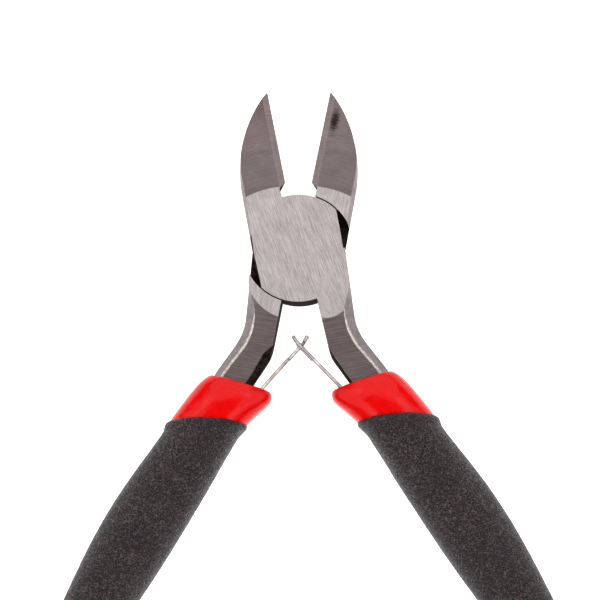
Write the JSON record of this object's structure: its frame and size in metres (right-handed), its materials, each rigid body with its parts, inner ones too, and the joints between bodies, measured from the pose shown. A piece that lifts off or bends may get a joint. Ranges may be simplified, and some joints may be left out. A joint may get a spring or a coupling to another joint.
{
  "type": "diagonal cutting pliers",
  "caption": "Small lap-joint side cutters with crossed leaf return springs and dipped two-layer handle grips, for snipping wire and component leads.",
  "frame": {"origin": "on the pivot axis, at the joint's back face", "axes": "+Y to the jaw tips, +X to the right-hand handle seen from the front, +Z from the joint's back face to its front face"},
  "size_m": [0.0971, 0.1087, 0.0108],
  "materials": {
    "ground_steel": "ground and brushed",
    "spring_steel": "rolled strip, satin",
    "red_vinyl": "smooth dipped vinyl",
    "black_vinyl": "fine leather-like grain"
  },
  "bodies": {
    "front_half": {"front_lever": "ground_steel", "pivot_rivet": "ground_steel", "spring_stud_right": "spring_steel", "inner_sleeve_right": "red_vinyl", "outer_grip_right": "black_vinyl"},
    "back_half": {"back_lever": "ground_steel", "spring_stud_left": "spring_steel", "inner_sleeve_left": "red_vinyl", "outer_grip_left": "black_vinyl"},
    "right_leaf": {"leaf_spring_right": "spring_steel"},
    "left_leaf": {"leaf_spring_left": "spring_steel"}
  },
  "joints": [
    {"name": "pivot", "type": "hinge", "parent": "front_half", "child": "back_half", "pos_m": [0, 0, 0], "axis": [0, 0, 1], "range_deg": [0, 22], "stiffness_Nm_per_rad": 0.64, "springref_deg": -8.94},
    {"name": "right_leaf_flex", "type": "hinge", "parent": "front_half", "child": "right_leaf", "pos_m": [0.01012, -0.02725, 0.0033], "axis": [0, 0, 1], "range_deg": [-13.5, 0]},
    {"name": "left_leaf_flex", "type": "hinge", "parent": "back_half", "child": "left_leaf", "pos_m": [-0.00906, -0.02762, 0.0033], "axis": [0, 0, 1], "range_deg": [0, 13.5]}
  ],
  "couplings": [
    {"joint": "right_leaf_flex", "follows": "pivot", "ratio": -0.6},
    {"joint": "left_leaf_flex", "follows": "pivot", "ratio": 0.6}
  ]
}
